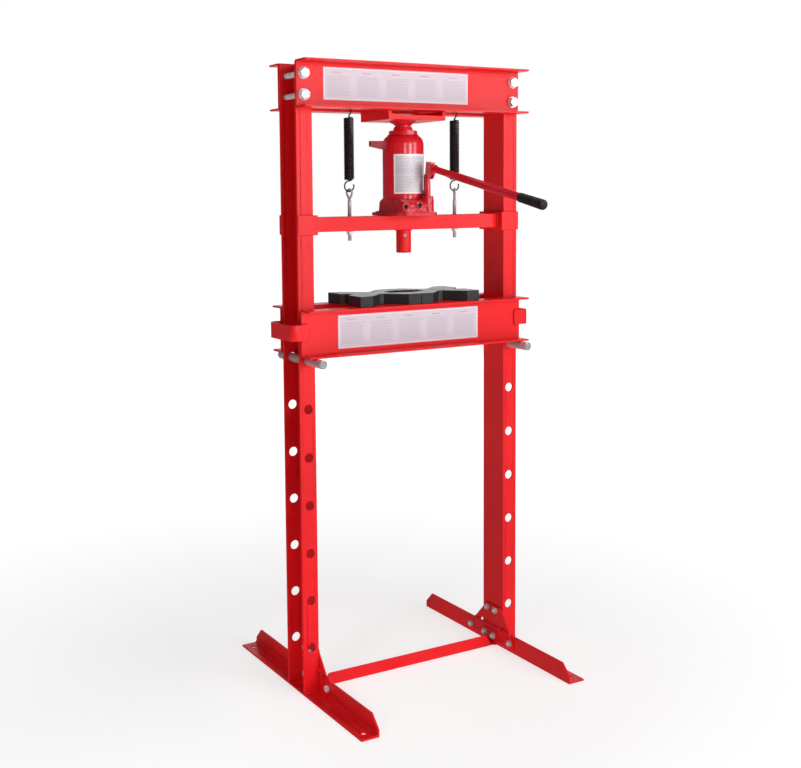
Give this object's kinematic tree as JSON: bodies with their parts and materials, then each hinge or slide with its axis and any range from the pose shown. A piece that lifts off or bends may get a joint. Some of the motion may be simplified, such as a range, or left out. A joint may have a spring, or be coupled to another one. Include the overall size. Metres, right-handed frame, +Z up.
{
  "type": "hydraulic shop press",
  "caption": "Floor-standing H-frame workshop press: hydraulic bottle jack on a sprung crossbeam, height-adjustable bed on pins, loose press plates.",
  "frame": {"origin": "on the floor, midway between the posts and midway along the feet", "axes": "+Z up, +X to the operator's right, -Y towards the operator and the pump handle"},
  "size_m": [0.596, 0.7159, 1.3],
  "materials": {
    "red_paint": "gloss powder coat",
    "zinc": "bright zinc plate",
    "steel": "ground steel",
    "black_spring": "black spring steel",
    "black_plate": "satin black",
    "label_film": "printed film",
    "seal_rubber": "matte",
    "grip_rubber": "soft sheen"
  },
  "bodies": {
    "frame": {"post_left": "red_paint", "post_right": "red_paint", "top_beam_front": "red_paint", "top_beam_rear": "red_paint", "head_plate": "red_paint", "spring_rods": "red_paint", "top_bolts": "zinc", "top_washers": "zinc", "top_nuts": "zinc", "foot_left": "red_paint", "foot_right": "red_paint", "gusset_left": "red_paint", "gusset_right": "red_paint", "tie_bar": "red_paint", "base_bolts": "zinc", "base_nuts": "zinc", "top_label": "label_film", "spring_left": "black_spring", "spring_right": "black_spring"},
    "bed": {"bed_beam_front": "red_paint", "bed_beam_rear": "red_paint", "bed_strap_left": "red_paint", "bed_strap_right": "red_paint", "bed_label": "label_film"},
    "bed_pin_left": {"bed_pin_left": "zinc"},
    "bed_pin_right": {"bed_pin_right": "zinc"},
    "press_plate_left": {"press_plate_left": "black_plate"},
    "press_plate_right": {"press_plate_right": "black_plate"},
    "crosshead": {"crossbeam": "red_paint", "collar_left": "red_paint", "collar_right": "red_paint", "ram": "red_paint", "ram_screw": "steel", "eye_bolt_left": "zinc", "eye_bolt_right": "zinc", "eye_bolt_nuts": "zinc", "jack_base": "red_paint", "jack_tank": "red_paint", "jack_cylinder": "steel", "jack_top_nut": "red_paint", "gland_seal": "seal_rubber", "jack_label": "label_film", "carry_lug": "red_paint", "filler_plug": "seal_rubber", "relief_plug": "red_paint", "check_balls": "steel", "pump_link": "red_paint", "link_pins": "red_paint"},
    "release_valve": {"release_valve": "zinc"},
    "piston": {"jack_piston": "red_paint", "piston_seal": "seal_rubber", "extension_screw": "steel", "saddle": "red_paint"},
    "plunger": {"pump_plunger": "red_paint", "plunger_pin": "red_paint"},
    "handle_socket": {"handle_socket": "red_paint"},
    "handle": {"handle_bar": "red_paint", "handle_grip": "grip_rubber"}
  },
  "joints": [
    {"name": "press_travel", "type": "slide", "parent": "frame", "child": "crosshead", "axis": [0, 0, -1], "range_m": [0, 0.09], "stiffness_N_per_m": 2500, "springref_m": -0.06, "deforming": ["spring_left", "spring_right"]},
    {"name": "piston_stroke", "type": "slide", "parent": "crosshead", "child": "piston", "axis": [0, 0, 1], "range_m": [0, 0.09]},
    {"name": "pump_handle", "type": "hinge", "parent": "crosshead", "child": "handle_socket", "pos_m": [0.0255, -0.045, 1.071], "axis": [1, 0, 0], "range_deg": [-28, 28]},
    {"name": "plunger_stroke", "type": "slide", "parent": "crosshead", "child": "plunger", "axis": [0, 0, -1], "range_m": [-0.006, 0.006]},
    {"name": "handle_tube", "type": "slide", "parent": "handle_socket", "child": "handle", "axis": [0, -0.9796, -0.2011], "range_m": [0, 0.08]},
    {"name": "release_turn", "type": "hinge", "parent": "crosshead", "child": "release_valve", "pos_m": [-0.036, -0.06, 1.0075], "axis": [0, 1, 0], "range_deg": [0, 90]},
    {"name": "pin_left_slide", "type": "slide", "parent": "frame", "child": "bed_pin_left", "axis": [0, -1, 0], "range_m": [0, 0.22]},
    {"name": "pin_right_slide", "type": "slide", "parent": "frame", "child": "bed_pin_right", "axis": [0, -1, 0], "range_m": [0, 0.22]},
    {"name": "bed_lift", "type": "slide", "parent": "frame", "child": "bed", "axis": [0, 0, 1], "range_m": [0, 0.015]},
    {"name": "plate_left_slide", "type": "slide", "parent": "bed", "child": "press_plate_left", "axis": [-1, 0, 0], "range_m": [0, 0.06]},
    {"name": "plate_right_slide", "type": "slide", "parent": "bed", "child": "press_plate_right", "axis": [1, 0, 0], "range_m": [0, 0.06]}
  ],
  "couplings": [
    {"joint": "piston_stroke", "follows": "press_travel", "ratio": 1},
    {"joint": "plunger_stroke", "follows": "pump_handle", "m_per_rad": 0.0115}
  ]
}
